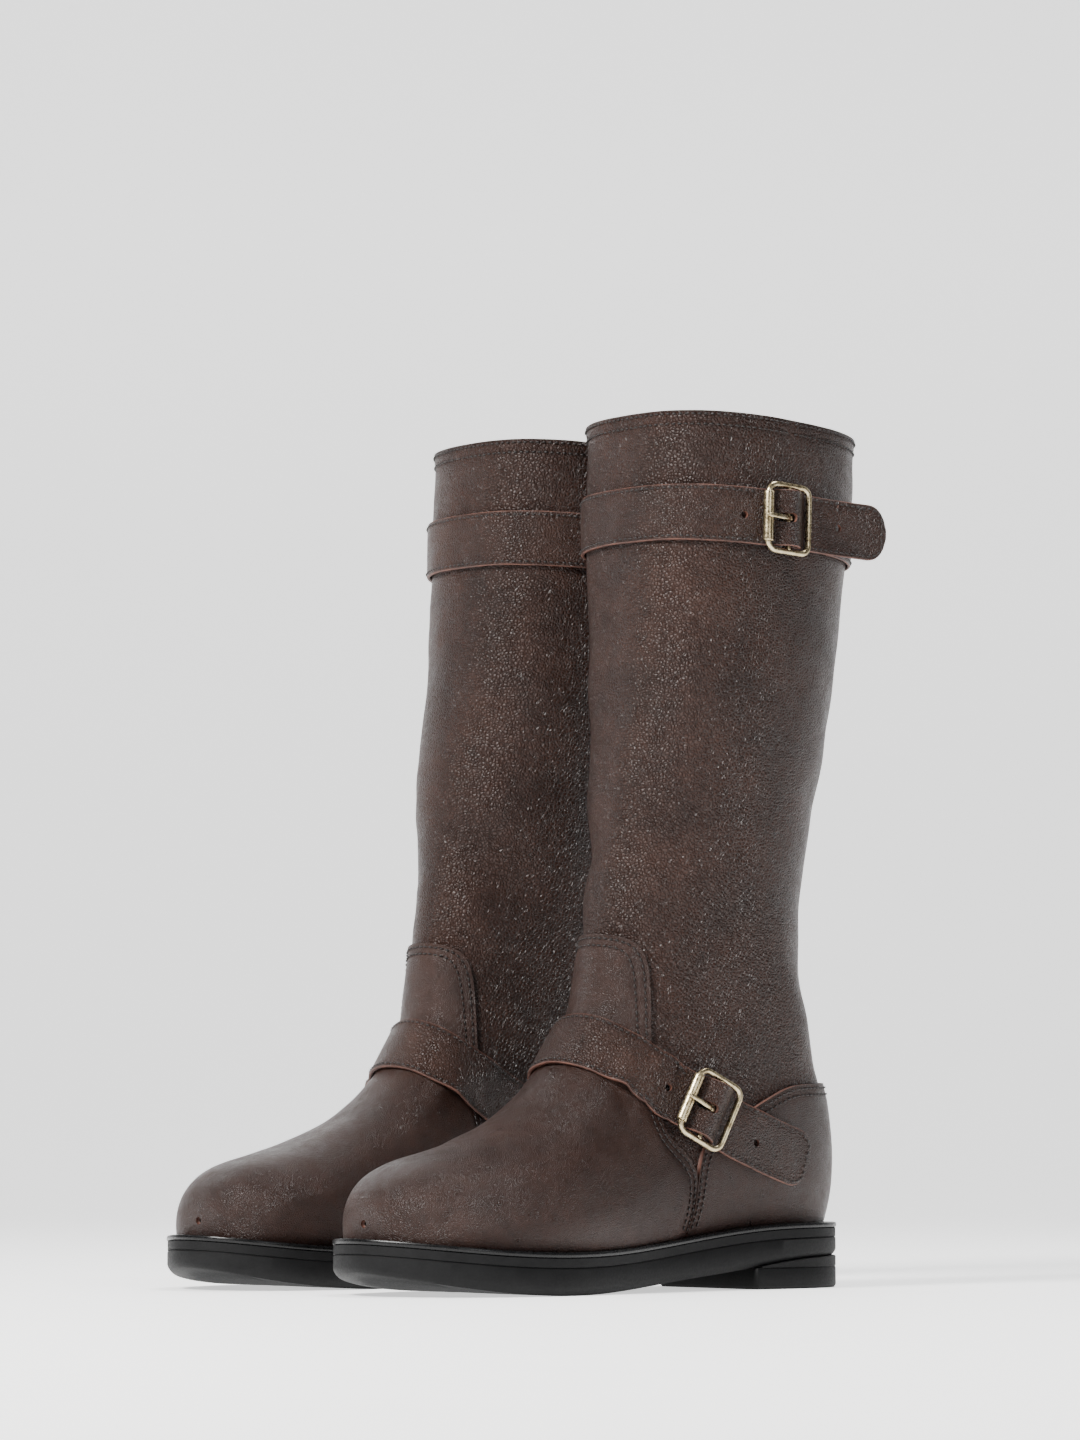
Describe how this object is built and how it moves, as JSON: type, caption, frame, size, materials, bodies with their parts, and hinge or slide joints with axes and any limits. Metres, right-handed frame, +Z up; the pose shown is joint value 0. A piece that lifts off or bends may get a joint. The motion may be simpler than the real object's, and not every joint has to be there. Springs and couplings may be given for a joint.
{
  "type": "riding boots",
  "caption": "Tall pull-on riding boots with round toe, low block heel, and a roller-buckled strap at the top of the shaft and over the instep of each boot.",
  "frame": {"origin": "on the floor, under the middle of the box round the pair", "axes": "+Z up along the shafts, toes towards -Y, the wearer's left boot at +X and the right boot at -X"},
  "size_m": [0.2496, 0.2954, 0.415],
  "materials": {
    "upper_leather": "pebbled grain, satin, dark brown",
    "vamp_leather": "smoother grain, soft polish, dark brown",
    "strap_leather": "dark brown with raw reddish edges",
    "lining_leather": "matt natural tan",
    "black_rubber": "matt black",
    "black_welt": "polished black edge",
    "antique_brass": "light antique brass, worn bright on the edges",
    "bright_steel": "bright steel",
    "cork": "cork and binder paste",
    "fibre_board": "pressed fibre board"
  },
  "bodies": {
    "boots": {"left_ankle_strap": "strap_leather", "left_ankle_strap_chape": "strap_leather", "left_cork_filler": "cork", "left_counter_cover": "upper_leather", "left_heel_base": "black_rubber", "left_heel_lining": "lining_leather", "left_heel_nails": "bright_steel", "left_heel_stiffener": "fibre_board", "left_heel_top_lift": "black_rubber", "left_insole_board": "fibre_board", "left_midsole": "black_rubber", "left_outsole": "black_rubber", "left_shaft": "upper_leather", "left_shaft_lining": "lining_leather", "left_shank": "bright_steel", "left_sock_liner": "lining_leather", "left_toe_puff": "fibre_board", "left_top_facing": "upper_leather", "left_top_strap": "strap_leather", "left_top_strap_chape": "strap_leather", "left_vamp": "vamp_leather", "left_vamp_interlining": "fibre_board", "left_vamp_lining": "lining_leather", "left_welt": "black_welt", "right_ankle_strap": "strap_leather", "right_ankle_strap_chape": "strap_leather", "right_cork_filler": "cork", "right_counter_cover": "upper_leather", "right_heel_base": "black_rubber", "right_heel_lining": "lining_leather", "right_heel_nails": "bright_steel", "right_heel_stiffener": "fibre_board", "right_heel_top_lift": "black_rubber", "right_insole_board": "fibre_board", "right_midsole": "black_rubber", "right_outsole": "black_rubber", "right_shaft": "upper_leather", "right_shaft_lining": "lining_leather", "right_shank": "bright_steel", "right_sock_liner": "lining_leather", "right_toe_puff": "fibre_board", "right_top_facing": "upper_leather", "right_top_strap": "strap_leather", "right_top_strap_chape": "strap_leather", "right_vamp": "vamp_leather", "right_vamp_interlining": "fibre_board", "right_vamp_lining": "lining_leather", "right_welt": "black_welt"},
    "left_top_buckle_frame": {"left_top_buckle_frame": "antique_brass"},
    "left_top_buckle_roller": {"left_top_buckle_roller": "antique_brass"},
    "left_top_buckle_prong": {"left_top_buckle_prong": "antique_brass"},
    "left_ankle_buckle_frame": {"left_ankle_buckle_frame": "antique_brass"},
    "left_ankle_buckle_roller": {"left_ankle_buckle_roller": "antique_brass"},
    "left_ankle_buckle_prong": {"left_ankle_buckle_prong": "antique_brass"},
    "right_top_buckle_frame": {"right_top_buckle_frame": "antique_brass"},
    "right_top_buckle_roller": {"right_top_buckle_roller": "antique_brass"},
    "right_top_buckle_prong": {"right_top_buckle_prong": "antique_brass"},
    "right_ankle_buckle_frame": {"right_ankle_buckle_frame": "antique_brass"},
    "right_ankle_buckle_roller": {"right_ankle_buckle_roller": "antique_brass"},
    "right_ankle_buckle_prong": {"right_ankle_buckle_prong": "antique_brass"}
  },
  "joints": [
    {"name": "left_top_buckle_rock", "type": "hinge", "parent": "boots", "child": "left_top_buckle_frame", "pos_m": [0.11977, 0.07039, 0.36299], "axis": [-0.0108, 0.045, 0.9989], "range_deg": [-3, 3]},
    {"name": "left_top_buckle_roller_spin", "type": "hinge", "parent": "left_top_buckle_frame", "child": "left_top_buckle_roller", "pos_m": [0.11896, 0.05817, 0.36353], "axis": [-0.0108, 0.045, 0.9989], "continuous": true},
    {"name": "left_top_buckle_prong_swing", "type": "hinge", "parent": "left_top_buckle_frame", "child": "left_top_buckle_prong", "pos_m": [0.11977, 0.07039, 0.36299], "axis": [-0.0108, 0.045, 0.9989], "range_deg": [0, 25]},
    {"name": "left_ankle_buckle_rock", "type": "hinge", "parent": "boots", "child": "left_ankle_buckle_frame", "pos_m": [0.1093, 0.02821, 0.08373], "axis": [0.0473, 0.4587, 0.8873], "range_deg": [-3, 3]},
    {"name": "left_ankle_buckle_roller_spin", "type": "hinge", "parent": "left_ankle_buckle_frame", "child": "left_ankle_buckle_roller", "pos_m": [0.10737, 0.0175, 0.08937], "axis": [0.0473, 0.4587, 0.8873], "continuous": true},
    {"name": "left_ankle_buckle_prong_swing", "type": "hinge", "parent": "left_ankle_buckle_frame", "child": "left_ankle_buckle_prong", "pos_m": [0.1093, 0.02821, 0.08373], "axis": [0.0473, 0.4587, 0.8873], "range_deg": [0, 25]},
    {"name": "right_top_buckle_rock", "type": "hinge", "parent": "boots", "child": "right_top_buckle_frame", "pos_m": [-0.11977, 0.07039, 0.36299], "axis": [-0.0108, -0.045, -0.9989], "range_deg": [-3, 3]},
    {"name": "right_top_buckle_roller_spin", "type": "hinge", "parent": "right_top_buckle_frame", "child": "right_top_buckle_roller", "pos_m": [-0.11896, 0.05817, 0.36353], "axis": [-0.0108, -0.045, -0.9989], "continuous": true},
    {"name": "right_top_buckle_prong_swing", "type": "hinge", "parent": "right_top_buckle_frame", "child": "right_top_buckle_prong", "pos_m": [-0.11977, 0.07039, 0.36299], "axis": [-0.0108, -0.045, -0.9989], "range_deg": [0, 25]},
    {"name": "right_ankle_buckle_rock", "type": "hinge", "parent": "boots", "child": "right_ankle_buckle_frame", "pos_m": [-0.1093, 0.02821, 0.08373], "axis": [0.0473, -0.4587, -0.8873], "range_deg": [-3, 3]},
    {"name": "right_ankle_buckle_roller_spin", "type": "hinge", "parent": "right_ankle_buckle_frame", "child": "right_ankle_buckle_roller", "pos_m": [-0.10737, 0.0175, 0.08937], "axis": [0.0473, -0.4587, -0.8873], "continuous": true},
    {"name": "right_ankle_buckle_prong_swing", "type": "hinge", "parent": "right_ankle_buckle_frame", "child": "right_ankle_buckle_prong", "pos_m": [-0.1093, 0.02821, 0.08373], "axis": [0.0473, -0.4587, -0.8873], "range_deg": [0, 25]}
  ]
}
